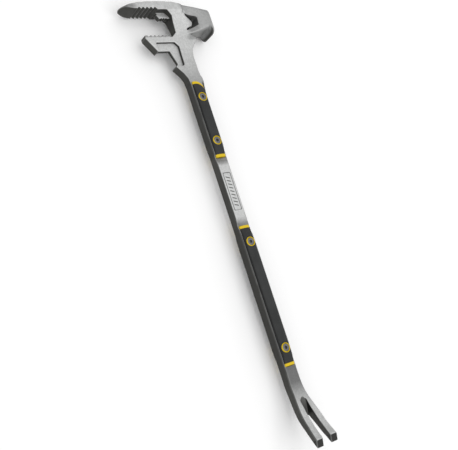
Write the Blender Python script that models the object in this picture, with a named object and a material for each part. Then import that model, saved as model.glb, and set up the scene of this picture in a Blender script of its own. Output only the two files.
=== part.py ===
"""Forcible entry bar: one forged steel bar with bolted rubber grips, lying on its back face."""
import bpy
import bmesh
import math
from mathutils import Matrix, Vector

MM = 0.001

# ---- overall sizes ----
BAR_LENGTH = 762 * MM
JAW_REACH = 100 * MM
POLL_REACH = 65 * MM
LOWER_JAW_REACH = 70 * MM
HEAD_THICKNESS = 33.4 * MM
POLL_THICKNESS = 42.8 * MM
NECK_THICKNESS = 16.4 * MM
LOWER_JAW_THICKNESS = 15.4 * MM
HANDLE_WIDTH = 22.6 * MM
HANDLE_THICKNESS = 17.2 * MM

# ---- head, measured down the bar from a plane just above its crown ----
CROWN_SETBACK = 2 * MM
HEAD_LENGTH = 146 * MM
UPPER_JAW_DEPTH = 17.2 * MM
MOUTH_GAP = 46 * MM
MOUTH_FLOOR_Y = -8.5 * MM
LOWER_JAW_DEPTH = 27.5 * MM
NOSE_LENGTH = 28 * MM
NOSE_TOP = 4.1 * MM
NOSE_TUCK = 0.2 * MM
TIER_THICKNESS = 10 * MM
TIER_DEPTH = 11 * MM
TIER_REACH = 36 * MM
TOOTH_PITCH = 7.5 * MM
TOOTH_DEPTH = 3.2 * MM
UPPER_TEETH = 5
LOWER_TEETH = 6
TIER_TEETH = 4
TIER_TOOTH_PITCH = 4.6 * MM
TIER_TOOTH_DEPTH = 1.8 * MM
ARM_WEB = 6.6 * MM
THUMB_REACH = 28.5 * MM
POLL_TOP_X = 17 * MM
POLL_BOTTOM_X = 56.5 * MM
POLL_CORNER = 11 * MM
POLL_STEP = 0.9 * MM
PLATE_EDGE_Y = 15 * MM
NOSE_EDGE_Y = 29.3 * MM
WINDOW_WIDTH = 24 * MM
ROOT_TOP_X = 5.4 * MM
ROOT_FILLET = 3 * MM
WAIST_DEPTH = 2.2 * MM
WAIST_LENGTH = 5 * MM
RIM_FLARE = 7.7 * MM
RIM_LENGTH = 4 * MM
STRIKING_CHAMFER = 2.2 * MM

# ---- handle channels and grips ----
WEB_THICKNESS = 7 * MM
FLANGE = 1.6 * MM
HEAD_GRIP_START = 148 * MM
HEAD_GRIP_LENGTH = 137 * MM
PAD_LENGTH = 91 * MM
PAD_RAMP = 14.2 * MM
SCOOP_DEPTH = 2.4 * MM
SCOOP_LIFT = 0.4 * MM
CLAW_SHANK_LENGTH = 126.5 * MM
GRIP_CROWN = 4.8 * MM
GRIP_END_CROWN = 2.5 * MM
GRIP_SHOULDER = 1.7 * MM
GRIP_SWELL = 0.8 * MM
BAND_WIDTH = 4.5 * MM
SCREW_FROM_BAND = 26.3 * MM
CLEARANCE = 0.3 * MM

# ---- fasteners ----
RING_SHARE = 0.845
RING_WALL = 1.4 * MM
RING_HEIGHT = 3.4 * MM
SCREW_SHANK_RADIUS = 2.5 * MM
SLEEVE_WALL = 1 * MM
SOCKET_DEPTH = 2 * MM
ROUND_SEGMENTS = 20

# ---- claw ----
CLAW_LENGTH = 113.5 * MM
CLAW_LIFT = 42.5 * MM
CLAW_CURVE = 1.78
CLAW_WIDTH = 42 * MM
TIP_THICKNESS = 10.6 * MM
TIP_BEVEL = 12 * MM
SLOT_LENGTH = 76.5 * MM
SLOT_WIDTH = 11.6 * MM
SLOT_MOUTH = 16.6 * MM
SLOT_RAMP_LENGTH = 28 * MM
SLOT_RAMP_DROP = 6 * MM

# ---- sizes worked out from the ones above ----
HALF_WIDTH = HANDLE_WIDTH / 2
HALF_THICK = HANDLE_THICKNESS / 2
HALF_WEB = WEB_THICKNESS / 2
CHANNEL_HALF = HALF_WIDTH - FLANGE
GRIP_HALF = CHANNEL_HALF - CLEARANCE
JAW_FLOOR = UPPER_JAW_DEPTH
LOWER_JAW_TOP = UPPER_JAW_DEPTH + MOUTH_GAP
LOWER_JAW_BASE = LOWER_JAW_TOP + LOWER_JAW_DEPTH
BAR_END = CROWN_SETBACK + BAR_LENGTH
CLAW_START = BAR_END - CLAW_LENGTH
CLAW_GRIP_END = BAR_END - CLAW_SHANK_LENGTH
HEAD_GRIP_END = HEAD_GRIP_START + HEAD_GRIP_LENGTH
PAD_START = HEAD_GRIP_END + PAD_RAMP
PAD_END = PAD_START + PAD_LENGTH
CLAW_GRIP_START = PAD_END + PAD_RAMP
BAND_ARC_RADIUS = 1.42 * HALF_WIDTH
RING_RADIUS = RING_SHARE * GRIP_HALF
HEAD_RADIUS = RING_RADIUS - RING_WALL - CLEARANCE
SLEEVE_RADIUS = SCREW_SHANK_RADIUS + CLEARANCE + SLEEVE_WALL
RING_TOP = HALF_THICK + GRIP_SWELL + GRIP_CROWN - CLEARANCE
RING_FLOOR = RING_TOP - RING_HEIGHT
SOCKET_RADIUS = 0.46 * HEAD_RADIUS
MARGIN = 5 * MM
FRAME_SHIFT = Vector((-CROWN_SETBACK - BAR_LENGTH / 2, (JAW_REACH - POLL_REACH) / 2, POLL_THICKNESS / 2))


def clear_scene():
    for item in list(bpy.data.objects):
        bpy.data.objects.remove(item, do_unlink=True)


def material(name, colour, metallic, roughness):
    made = bpy.data.materials.new(name)
    made.use_nodes = True
    shader = made.node_tree.nodes["Principled BSDF"]
    shader.inputs["Base Color"].default_value = (*colour, 1)
    shader.inputs["Metallic"].default_value = metallic
    shader.inputs["Roughness"].default_value = roughness
    return made


def forged_steel(name):
    return material(name, (0.56, 0.57, 0.57), 0.9, 0.45)


def grip_rubber(name):
    return material(name, (0.035, 0.037, 0.04), 0, 0.7)


def yellow_plastic(name):
    return material(name, (0.8, 0.6, 0.03), 0, 0.4)


def screw_steel(name):
    return material(name, (0.33, 0.33, 0.34), 0.9, 0.35)


def finish_mesh(shape, name):
    """Turn a bmesh into an object with outward faces."""
    bmesh.ops.remove_doubles(shape, verts=shape.verts, dist=0.00001)
    bmesh.ops.recalc_face_normals(shape, faces=shape.faces)
    mesh = bpy.data.meshes.new(name)
    shape.to_mesh(mesh)
    shape.free()
    item = bpy.data.objects.new(name, mesh)
    bpy.context.scene.collection.objects.link(item)
    return item


def loft(name, rings):
    """Skin a closed solid over rings that all have the same number of points."""
    shape = bmesh.new()
    rows = [[shape.verts.new(point) for point in ring] for ring in rings]
    count = len(rows[0])
    for low, high in zip(rows, rows[1:]):
        for i in range(count):
            j = (i + 1) % count
            shape.faces.new((low[i], low[j], high[j], high[i]))
    shape.faces.new(rows[0])
    shape.faces.new(rows[-1])
    return finish_mesh(shape, name)


def prism_z(name, outline, low, high):
    return loft(name, [[(x, y, z) for x, y in outline] for z in (low, high)])


def prism_y(name, outline, low, high):
    return loft(name, [[(x, y, z) for x, z in outline] for y in (low, high)])


def combine(target, tool, operation):
    """Apply one exact boolean and remove the tool."""
    step = target.modifiers.new("Combine", "BOOLEAN")
    step.operation = operation
    step.solver = "EXACT"
    step.object = tool
    tool.hide_render = True
    tool.display_type = "WIRE"
    graph = bpy.context.evaluated_depsgraph_get()
    mesh = bpy.data.meshes.new_from_object(target.evaluated_get(graph))
    target.modifiers.clear()
    target.data = mesh
    bpy.data.objects.remove(tool, do_unlink=True)
    return target


def cut(target, tool):
    return combine(target, tool, "DIFFERENCE")


def join(target, tool):
    return combine(target, tool, "UNION")


def keep(target, tool):
    return combine(target, tool, "INTERSECT")


def arc(centre, radius, start, end, steps):
    """Points on an arc, angles in degrees."""
    points = []
    for i in range(steps + 1):
        angle = math.radians(start + (end - start) * i / steps)
        points.append((centre[0] + radius * math.cos(angle), centre[1] + radius * math.sin(angle)))
    return points


def blend(value, table):
    """Read a value off a short list of (position, size) pairs, easing between them."""
    if value <= table[0][0]:
        return table[0][1]
    for (a, p), (b, q) in zip(table, table[1:]):
        if value <= b:
            t = (value - a) / (b - a)
            t = t * t * (3 - 2 * t)
            return p + (q - p) * t
    return table[-1][1]


def slide(value, table):
    """Read a value off a short list of (position, size) pairs along straight lines."""
    for (a, p), (b, q) in zip(table, table[1:]):
        if value <= b:
            return p + (q - p) * max(0, value - a) / (b - a)
    return table[-1][1]


def spread(start, end, count):
    return [start + (end - start) * i / (count - 1) for i in range(count)]


# ---------------------------------------------------------------- forged bar

def crown_outline():
    """Back of the head, from the jaw nose over the crown to the end of the poll."""
    top = [(NOSE_TOP, -JAW_REACH + NOSE_LENGTH)]
    for share in (0.57, 0.38, 0.28, 0.18, 0.03):
        fall = ((share - 0.28) / 0.44) ** 2
        top.append((CROWN_SETBACK + fall * (NOSE_TOP - CROWN_SETBACK), -JAW_REACH * share))
    return top + [(5.4 * MM, 0.17 * POLL_REACH), (7.4 * MM, PLATE_EDGE_Y)]


def mouth_outline():
    """Jaws and the wall between them, from the lower jaw root back up to the nose."""
    corner = 8 * MM
    return [
        (LOWER_JAW_TOP, MOUTH_FLOOR_Y - corner),
        (LOWER_JAW_TOP - corner, MOUTH_FLOOR_Y + 0.8 * MM),
        (JAW_FLOOR + corner + 1 * MM, MOUTH_FLOOR_Y - 0.5 * MM),
        (JAW_FLOOR, MOUTH_FLOOR_Y - corner - 0.5 * MM),
        (JAW_FLOOR, -JAW_REACH + NOSE_LENGTH + 36 * MM),
        (JAW_FLOOR - 1.4 * MM, -JAW_REACH + NOSE_LENGTH + 34.5 * MM),
        (JAW_FLOOR - 1.4 * MM, -JAW_REACH + NOSE_LENGTH),
    ]


def lower_jaw_outline():
    """Lower jaw from the thumb up round its slanted end to its teeth."""
    return [
        (LOWER_JAW_BASE + 25.5 * MM, -0.79 * THUMB_REACH),
        (LOWER_JAW_BASE + 20.5 * MM, -0.74 * THUMB_REACH),
        (LOWER_JAW_BASE - 2.5 * MM, -1.01 * THUMB_REACH),
        (LOWER_JAW_BASE - 2.5 * MM, -LOWER_JAW_REACH + 18.5 * MM),
        (LOWER_JAW_BASE, -LOWER_JAW_REACH + 16.5 * MM),
        (LOWER_JAW_TOP + 2.5 * MM, -LOWER_JAW_REACH),
        (LOWER_JAW_TOP - TOOTH_DEPTH, -LOWER_JAW_REACH + 1 * MM),
        (LOWER_JAW_TOP - TOOTH_DEPTH, -LOWER_JAW_REACH + 1 * MM + LOWER_TEETH * TOOTH_PITCH),
        (LOWER_JAW_TOP, -LOWER_JAW_REACH + 2.5 * MM + LOWER_TEETH * TOOTH_PITCH),
    ]


def plate_edge():
    """Edge of the head plate over the poll's root; the window trims its middle to a blunt nose."""
    return [
        (22 * MM, PLATE_EDGE_Y - 1.8 * MM),
        (24 * MM, PLATE_EDGE_Y + 3.4 * MM),
        (34 * MM, NOSE_EDGE_Y + 2 * MM),
        (47 * MM, NOSE_EDGE_Y + 1 * MM),
        (53.2 * MM, PLATE_EDGE_Y + 1.4 * MM),
    ]


def neck_outline():
    """Shoulders that run from the poll and thumb into the handle."""
    root = LOWER_JAW_BASE + 27.5 * MM
    right = [
        (LOWER_JAW_TOP - 5 * MM, PLATE_EDGE_Y + 4 * MM),
        (LOWER_JAW_TOP - 1 * MM, 0.38 * POLL_REACH),
        (LOWER_JAW_TOP + 3 * MM, 0.49 * POLL_REACH),
        (LOWER_JAW_TOP + 8 * MM, 0.44 * POLL_REACH),
        (LOWER_JAW_TOP + 15 * MM, 0.34 * POLL_REACH),
        (LOWER_JAW_BASE - 3 * MM, HALF_WIDTH + 4.2 * MM),
        (LOWER_JAW_BASE + 10 * MM, HALF_WIDTH + 1 * MM),
        (HEAD_LENGTH - 18 * MM, HALF_WIDTH + 1 * MM),
        (HEAD_LENGTH - 9 * MM, HALF_WIDTH + 1.8 * MM),
        (HEAD_LENGTH - 5 * MM, HALF_WIDTH + 4 * MM),
        (HEAD_LENGTH + 2 * MM, HALF_WIDTH + 4 * MM),
        (HEAD_LENGTH + 10 * MM, HALF_WIDTH + 2.4 * MM),
        (HEAD_LENGTH + 30 * MM, HALF_WIDTH + 0.4 * MM),
    ]
    left = [
        (HEAD_LENGTH + 30 * MM, -HALF_WIDTH),
        (HEAD_LENGTH + 6 * MM, -HALF_WIDTH - 0.5 * MM),
        (HEAD_LENGTH - 5 * MM, -HALF_WIDTH - 2.2 * MM),
        (HEAD_LENGTH - 14 * MM, -HALF_WIDTH - 6.5 * MM),
        (root + 1 * MM, -THUMB_REACH),
        (root - 1.5 * MM, -THUMB_REACH + 2 * MM),
    ]
    return right + left


def head_half_thickness(x):
    """Half thickness of the head down the bar, wide at the jaw and slim at the neck."""
    wide, slim = HEAD_THICKNESS / 2, LOWER_JAW_THICKNESS / 2
    if x <= LOWER_JAW_TOP:
        drop = max(0, (x - JAW_FLOOR) / MOUTH_GAP)
        return slim + (wide - slim) * (1 - drop) ** 2
    return blend(x, [
        (LOWER_JAW_BASE, slim),
        (HEAD_LENGTH - 20 * MM, NECK_THICKNESS / 2),
        (HEAD_LENGTH + 10 * MM, HALF_THICK + 0.6 * GRIP_SWELL),
    ])


def head_thickness_profile():
    places = [-MARGIN] + spread(JAW_FLOOR, HEAD_LENGTH + 31 * MM, 30)
    front = [(x, head_half_thickness(x)) for x in places]
    return front + [(x, -z) for x, z in reversed(front)]


def head_body():
    outline = crown_outline() + plate_edge() + neck_outline() + lower_jaw_outline() + mouth_outline()
    body = prism_z("forged_bar", outline, -POLL_THICKNESS, POLL_THICKNESS)
    profile = prism_y("profile", head_thickness_profile(), -2 * JAW_REACH, 2 * JAW_REACH)
    return keep(body, profile)


def jaw_nose():
    """Rounded beak at the end of the upper jaw."""
    rings = []
    start_y = -JAW_REACH + NOSE_LENGTH + MARGIN
    length = NOSE_LENGTH + MARGIN
    for share in (0, 0.16, 0.34, 0.5, 0.65, 0.78, 0.88, 0.95, 1):
        y = start_y - length * share
        fade = max(0, (share - 0.16) / 0.84)
        top = NOSE_TOP + NOSE_TUCK + 4 * MM * fade ** 1.3
        bottom = JAW_FLOOR - 1.4 * MM - 5.2 * MM * fade ** 1.5
        half_x = (bottom - top) / 2
        half_z = (HEAD_THICKNESS / 2 - NOSE_TUCK) * math.sqrt(max(0.04, 1 - fade ** 3.2))
        half_x = half_x * math.sqrt(max(0.02, 1 - fade ** 5))
        power = 2 / (16 - 13.6 * min(1, fade * 1.5))
        ring = []
        for i in range(24):
            angle = 2 * math.pi * (i + 0.5) / 24
            c, s = math.cos(angle), math.sin(angle)
            dx = half_x * math.copysign(abs(c) ** power, c)
            dz = half_z * math.copysign(abs(s) ** power, s)
            ring.append(((top + bottom) / 2 + dx, y, dz))
        rings.append(ring)
    return loft("nose", rings)


def tooth_notches(first_y, pitch, count, root_x, depth, toward_mouth, half_z):
    """V cutters across a jaw, one per notch."""
    cutters = []
    for i in range(count):
        y = first_y + pitch * i
        tip = root_x
        mouth = root_x + toward_mouth * (depth + MARGIN)
        wide = 0.42 * pitch * (depth + MARGIN) / depth
        outline = [(tip, y), (mouth, y + wide), (mouth, y - wide)]
        cutters.append(prism_z("notch", outline, -half_z, half_z))
    return cutters


def poll_ring(y, top, bottom, half_top, half_bottom, soft_top, soft_bottom, dish):
    """Section of the poll with rounded corners; dish is how far its faces follow the head plate."""
    low_arc = arc((bottom - soft_bottom, half_bottom - soft_bottom), soft_bottom, 0, 90, 5)
    high_arc = arc((top + soft_top, half_top - soft_top), soft_top, 90, 180, 5)
    low_x, low_z = low_arc[-1]
    high_x, high_z = high_arc[0]
    side = []
    for share in (0.2, 0.4, 0.6, 0.8):
        x = low_x + (high_x - low_x) * share
        z = low_z + (high_z - low_z) * share
        side.append((x, z + (head_half_thickness(x) - POLL_STEP - z) * dish))
    near = low_arc + side + high_arc
    far = [(x, -z) for x, z in reversed(near)]
    return [(x, y, z) for x, z in near + far]


def poll():
    """Hammer poll that flares out to a square striking face with round corners."""
    full = POLL_THICKNESS / 2
    jaw_half = HEAD_THICKNESS / 2 - POLL_STEP
    root_half = head_half_thickness(POLL_BOTTOM_X) - POLL_STEP
    root_y, fillet_y, body_y = 0.09 * POLL_REACH, 0.34 * POLL_REACH, 0.6 * POLL_REACH
    rim_y = POLL_REACH - RIM_LENGTH
    waist_y = rim_y - WAIST_LENGTH
    chamfer_y = POLL_REACH - STRIKING_CHAMFER
    rim_bottom = POLL_BOTTOM_X + RIM_FLARE
    tops = [(root_y, ROOT_TOP_X), (fillet_y, 0.5 * POLL_TOP_X), (body_y, 0.73 * POLL_TOP_X),
            (chamfer_y, POLL_TOP_X)]
    bottoms = [(root_y, POLL_BOTTOM_X + ROOT_FILLET), (fillet_y, POLL_BOTTOM_X + 0.8 * ROOT_FILLET),
               (waist_y, POLL_BOTTOM_X - WAIST_DEPTH), (rim_y, rim_bottom - 1 * MM), (chamfer_y, rim_bottom)]
    half_tops = [(root_y, jaw_half - 0.5 * MM), (fillet_y, jaw_half), (chamfer_y, full)]
    half_bottoms = [(root_y, root_half), (fillet_y, root_half + 2.4 * MM), (chamfer_y, full)]
    soft_tops = [(root_y, 1 * MM), (body_y, 3.6 * MM), (chamfer_y, POLL_CORNER - 1 * MM)]
    soft_bottoms = [(root_y, 1 * MM), (body_y, 3 * MM), (waist_y, 0.7 * POLL_CORNER), (rim_y, POLL_CORNER)]
    rings = []
    for y in spread(root_y, waist_y, 9) + spread(waist_y, rim_y, 4)[1:] + [chamfer_y]:
        rings.append(poll_ring(y, slide(y, tops), slide(y, bottoms), slide(y, half_tops),
                               slide(y, half_bottoms), slide(y, soft_tops), slide(y, soft_bottoms),
                               slide(y, [(fillet_y, 1), (body_y, 0)])))
    rings.append(poll_ring(POLL_REACH, POLL_TOP_X + STRIKING_CHAMFER, rim_bottom - STRIKING_CHAMFER,
                           full - STRIKING_CHAMFER, full - STRIKING_CHAMFER,
                           POLL_CORNER - STRIKING_CHAMFER, POLL_CORNER - STRIKING_CHAMFER, 0))
    return loft("poll", rings)


def poll_window():
    """Opening through the root of the poll, wrapped round the head plate's blunt nose."""
    outer = WINDOW_WIDTH + PLATE_EDGE_Y
    outline = [
        (26.8 * MM, PLATE_EDGE_Y + 3.4 * MM), (35.3 * MM, NOSE_EDGE_Y - 1.6 * MM),
        (40.4 * MM, NOSE_EDGE_Y), (44.6 * MM, NOSE_EDGE_Y - 1.9 * MM),
        (48.4 * MM, PLATE_EDGE_Y + 2.4 * MM), (51.8 * MM, PLATE_EDGE_Y + 1.2 * MM),
        (44.9 * MM, outer), (32.1 * MM, outer + 0.2 * MM),
        (29.5 * MM, outer - 2.2 * MM), (22.9 * MM, PLATE_EDGE_Y + 2.2 * MM),
    ]
    return prism_z("window", outline, -POLL_THICKNESS, POLL_THICKNESS)


def tier_block():
    """Narrow toothed block inside the mouth under the upper jaw."""
    back = MOUTH_FLOOR_Y + 2 * MM
    low = JAW_FLOOR + TIER_DEPTH
    outline = [
        (JAW_FLOOR - 3 * MM, -TIER_REACH - 1.5 * MM),
        (low, -TIER_REACH + 6.5 * MM),
        (low, back),
        (JAW_FLOOR - 3 * MM, back),
    ]
    block = prism_z("tier", outline, -TIER_THICKNESS / 2, TIER_THICKNESS / 2)
    first = -TIER_REACH + 6.5 * MM + TIER_TOOTH_PITCH
    for tool in tooth_notches(first, TIER_TOOTH_PITCH, TIER_TEETH - 1, low - TIER_TOOTH_DEPTH,
                              TIER_TOOTH_DEPTH, 1, TIER_THICKNESS):
        cut(block, tool)
    return block


def arm_recess(side):
    """Pocket that thins the arm between the lower jaw and the thumb."""
    wall = LOWER_JAW_TOP + 10.5 * MM
    inner = LOWER_JAW_BASE + 24.5 * MM
    outline = [
        (wall, -LOWER_JAW_REACH + 18 * MM),
        (wall, -16.5 * MM),
        (wall + 8 * MM, -10 * MM),
        (inner, -11.2 * MM),
        (inner + 2.5 * MM, -14.5 * MM),
        (inner - 0.5 * MM, -40 * MM),
        (LOWER_JAW_BASE + 2 * MM, -40 * MM),
        (LOWER_JAW_BASE + 2 * MM, -LOWER_JAW_REACH + 19 * MM),
    ]
    low, high = sorted((side * ARM_WEB / 2, side * POLL_THICKNESS))
    return prism_z("recess", outline, low, high)


def shank_ring(x, z, tilt, half_wide, half_thick, chamfer):
    """Chamfered cross section of the bar, tilted up about the cross axis."""
    flat = [
        (-half_wide + chamfer, half_thick), (half_wide - chamfer, half_thick),
        (half_wide, half_thick - chamfer), (half_wide, -half_thick + chamfer),
        (half_wide - chamfer, -half_thick), (-half_wide + chamfer, -half_thick),
        (-half_wide, -half_thick + chamfer), (-half_wide, half_thick - chamfer),
    ]
    c, s = math.cos(tilt), math.sin(tilt)
    return [(x - s * up, y, z + c * up) for y, up in flat]


def grip_swell(x):
    """How much the flanges swell beside each grip."""
    table = [
        (HEAD_GRIP_START, 0.6 * GRIP_SWELL),
        (HEAD_GRIP_START + 0.45 * HEAD_GRIP_LENGTH, GRIP_SWELL),
        (HEAD_GRIP_END + PAD_RAMP, 0),
        (PAD_END, 0),
        (CLAW_GRIP_START + 0.45 * (CLAW_GRIP_END - CLAW_GRIP_START), GRIP_SWELL),
        (CLAW_GRIP_END + 2 * MM, 0.1 * GRIP_SWELL),
    ]
    return blend(x, table)


def claw_centre(share):
    """Height, tilt, half width and half thickness of the claw along its length."""
    straight = 0.1
    bend = max(0, (share - straight) / (1 - straight))
    height = CLAW_LIFT * bend ** CLAW_CURVE
    slope = CLAW_LIFT * CLAW_CURVE * bend ** (CLAW_CURVE - 1) / ((1 - straight) * CLAW_LENGTH)
    tilt = math.atan(slope)
    wide = blend(share, [(0, HALF_WIDTH), (0.22, HALF_WIDTH + 0.8 * MM),
                         (0.68, 0.88 * CLAW_WIDTH / 2), (1, CLAW_WIDTH / 2)])
    thick = blend(share, [(0, HALF_THICK), (0.35, 0.96 * HALF_THICK), (1, TIP_THICKNESS / 2)])
    return height, tilt, wide, thick


def shank():
    """Handle and claw as one skin."""
    rings = []
    for x in spread(HEAD_LENGTH + 8 * MM, CLAW_START, 24):
        swell = grip_swell(x)
        rings.append(shank_ring(x, 0, 0, HALF_WIDTH + swell, HALF_THICK + swell, 1.2 * MM))
    for share in spread(0.08, 1.0, 15):
        height, tilt, wide, thick = claw_centre(share)
        x = CLAW_START + share * CLAW_LENGTH
        rings.append(shank_ring(x, height, tilt, wide, thick, 1.2 * MM))
    height, tilt, wide, thick = claw_centre(1)
    far = 14 * MM
    rings.append(shank_ring(BAR_END + far, height + far * math.tan(tilt), tilt, wide, thick, 1.2 * MM))
    return loft("shank", rings)


def tip_bevel():
    """Wedge that gives both claw tips their slanted cutting end."""
    height, tilt, wide, thick = claw_centre(1)
    tip_z = height - thick / math.cos(tilt)
    rise = 0.28 * TIP_BEVEL
    outline = [
        (BAR_END, tip_z - MARGIN),
        (BAR_END, tip_z + 1.2 * MM),
        (BAR_END - TIP_BEVEL, tip_z + 1.2 * MM + rise),
        (BAR_END - TIP_BEVEL, tip_z + 10 * MARGIN),
        (BAR_END + 10 * MARGIN, tip_z + 10 * MARGIN),
        (BAR_END + 10 * MARGIN, tip_z - MARGIN),
    ]
    return prism_y("bevel", outline, -CLAW_WIDTH, CLAW_WIDTH)


def fork_slot():
    """Tapered nail slot between the tines; its root is a long ramp that runs out at the back."""
    root_x = BAR_END - SLOT_LENGTH + SLOT_WIDTH / 2
    ramp_top = HALF_THICK + 0.1 * CLAW_LIFT
    rings = []
    for z, lean in ((-1.5 * HALF_THICK, SLOT_RAMP_LENGTH), (ramp_top - SLOT_RAMP_DROP, SLOT_RAMP_LENGTH),
                    (ramp_top, 0), (1.5 * CLAW_LIFT, 0)):
        outline = arc((root_x + lean, 0), SLOT_WIDTH / 2, 90, 270, 12)
        outline += [(BAR_END + MARGIN, -SLOT_MOUTH / 2), (BAR_END + MARGIN, SLOT_MOUTH / 2)]
        rings.append([(x, y, z) for x, y in outline])
    return loft("slot", rings)


def arc_end_x(y, inset):
    """Where the rounded head-side end of a channel lies at a distance across the bar."""
    drop = y + 0.5 * HALF_WIDTH
    return HEAD_GRIP_START + inset + BAND_ARC_RADIUS - math.sqrt(BAND_ARC_RADIUS ** 2 - drop ** 2)


def grip_plan(head_side, inset, half):
    """Plan of one grip channel; a positive inset shortens it at both ends."""
    if head_side:
        start = [(arc_end_x(y, inset), y) for y in spread(-half, half, 13)]
        finish = HEAD_GRIP_END - inset
    else:
        start = [(CLAW_GRIP_START + inset, -half), (CLAW_GRIP_START + inset, half)]
        finish = CLAW_GRIP_END - inset
    return start + [(finish, half), (finish, -half)]


def channel(head_side, side):
    plan = grip_plan(head_side, 0, CHANNEL_HALF)
    low, high = sorted((side * HALF_WEB, side * 3 * HALF_THICK))
    return prism_z("channel", plan, low, high)


def pad_ramp(start, end, side):
    """Saddle-shaped scoop from a grip's end up to the bare pad, deepest along the middle."""
    reach = 1.08 * HALF_WIDTH
    rings = []
    for share in spread(0, 1, 7):
        x = start + (end - start) * share
        depth = SCOOP_DEPTH * (1 - share ** 1.8)
        ring = []
        for across in spread(-1, 1, 11):
            z = HALF_THICK + SCOOP_LIFT * share - depth * (1 - across ** 4)
            ring.append((x, across * reach, side * z))
        ring += [(x, reach, side * 3 * HALF_THICK), (x, -reach, side * 3 * HALF_THICK)]
        rings.append(ring)
    return loft("ramp", rings)


def screw_places():
    """Distances down the bar of the four screws."""
    return [
        HEAD_GRIP_START + BAND_WIDTH + SCREW_FROM_BAND - 1 * MM,
        HEAD_GRIP_END - BAND_WIDTH / 2 - SCREW_FROM_BAND,
        CLAW_GRIP_START + BAND_WIDTH / 2 + SCREW_FROM_BAND,
        CLAW_GRIP_END - BAND_WIDTH / 2 - SCREW_FROM_BAND,
    ]


def disc(name, x, radius, low, high, segments):
    outline = arc((x, 0), radius, 0, 360 - 360 / segments, segments - 1)
    return prism_z(name, outline, low, high)


def forged_bar():
    body = head_body()
    join(body, jaw_nose())
    join(body, poll())
    join(body, shank())
    cut(body, poll_window())
    join(body, tier_block())
    upper_first = -JAW_REACH + NOSE_LENGTH + 3.2 * MM
    upper_root = JAW_FLOOR - 1.4 * MM - TOOTH_DEPTH
    for tool in tooth_notches(upper_first, TOOTH_PITCH, UPPER_TEETH, upper_root,
                              TOOTH_DEPTH, 1, POLL_THICKNESS):
        cut(body, tool)
    lower_first = -LOWER_JAW_REACH + 1 * MM + TOOTH_PITCH
    for tool in tooth_notches(lower_first, TOOTH_PITCH, LOWER_TEETH - 1, LOWER_JAW_TOP,
                              TOOTH_DEPTH, -1, POLL_THICKNESS):
        cut(body, tool)
    for side in (1, -1):
        cut(body, arm_recess(side))
        cut(body, channel(True, side))
        cut(body, channel(False, side))
        cut(body, pad_ramp(HEAD_GRIP_END - BAND_WIDTH, PAD_START, side))
        cut(body, pad_ramp(CLAW_GRIP_START + BAND_WIDTH, PAD_END, side))
    for x in screw_places():
        cut(body, disc("hole", x, SLEEVE_RADIUS + CLEARANCE, -HALF_THICK, HALF_THICK, ROUND_SEGMENTS))
    cut(body, tip_bevel())
    cut(body, fork_slot())
    return body


# ---------------------------------------------------------------- grips

def grip_crown(x, start, end):
    """Crown height of a grip, lower at its two ends."""
    run = SCREW_FROM_BAND * 0.8
    low = HALF_THICK + GRIP_END_CROWN
    high = HALF_THICK + GRIP_SWELL + GRIP_CROWN
    table = [(start, low), (start + run, high), (end - run, high), (end, low)]
    return blend(x, table)


def grip_ring(x, crown, side):
    """Cross section of a grip with steep sides and a gently domed face."""
    floor = HALF_WEB + CLEARANCE
    shoulder = crown - GRIP_SHOULDER
    half = GRIP_HALF
    section = [(-half, floor), (-half, shoulder - 1.4 * MM), (-0.93 * half, shoulder + 0.1 * MM)]
    for share in (-0.7, -0.36, 0, 0.36, 0.7):
        section.append((share * half, crown - GRIP_SHOULDER * share ** 2))
    section += [(0.93 * half, shoulder + 0.1 * MM), (half, shoulder - 1.4 * MM), (half, floor)]
    return [(x, y, side * z) for y, z in section]


def grip_blank(name, head_side, side):
    """Grip and its two end bands before they are parted."""
    if head_side:
        start, end = HEAD_GRIP_START, HEAD_GRIP_END
    else:
        start, end = CLAW_GRIP_START, CLAW_GRIP_END
    places = spread(start - CLEARANCE, end + CLEARANCE, 21 if head_side else 27)
    blank = loft(name, [grip_ring(x, grip_crown(x, start, end), side) for x in places])
    plan = grip_plan(head_side, CLEARANCE, GRIP_HALF + CLEARANCE)
    low, high = sorted((0, side * 4 * HALF_THICK))
    return keep(blank, prism_z("plan", plan, low, high))


def rubber_grip(name, head_side, side, places):
    grip = grip_blank(name, head_side, side)
    inset = CLEARANCE + BAND_WIDTH + CLEARANCE
    low, high = sorted((0, side * 4 * HALF_THICK))
    keep(grip, prism_z("plan", grip_plan(head_side, inset, GRIP_HALF + CLEARANCE), low, high))
    for x in places:
        seat_low, seat_high = sorted((side * (RING_FLOOR - CLEARANCE), side * 4 * HALF_THICK))
        cut(grip, disc("seat", x, RING_RADIUS + CLEARANCE, seat_low, seat_high, ROUND_SEGMENTS))
        cut(grip, disc("bore", x, SLEEVE_RADIUS + CLEARANCE, low, high, ROUND_SEGMENTS))
    return grip


def end_band(name, head_side, side, at_start):
    """Yellow band that closes one end of a grip."""
    band = grip_blank(name, head_side, side)
    inset = CLEARANCE + BAND_WIDTH
    half = GRIP_HALF + MARGIN
    low, high = sorted((0, side * 4 * HALF_THICK))
    if head_side and at_start:
        middle = HEAD_GRIP_START + HEAD_GRIP_LENGTH / 2
        near_half = [(0, -half), (middle, -half), (middle, half), (0, half)]
        keep(band, prism_z("near_half", near_half, low - MARGIN, high + MARGIN))
        core = grip_plan(True, inset, GRIP_HALF + CLEARANCE)
        return cut(band, prism_z("core", core, low - MARGIN, high + MARGIN))
    if at_start:
        outline = [(CLAW_GRIP_START - MARGIN, -half), (CLAW_GRIP_START + inset, -half),
                   (CLAW_GRIP_START + inset, half), (CLAW_GRIP_START - MARGIN, half)]
    else:
        finish = HEAD_GRIP_END if head_side else CLAW_GRIP_END
        outline = [(finish - inset, -half), (finish + MARGIN, -half),
                   (finish + MARGIN, half), (finish - inset, half)]
    return keep(band, prism_z("slice", outline, low - MARGIN, high + MARGIN))


# ---------------------------------------------------------------- fasteners

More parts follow.
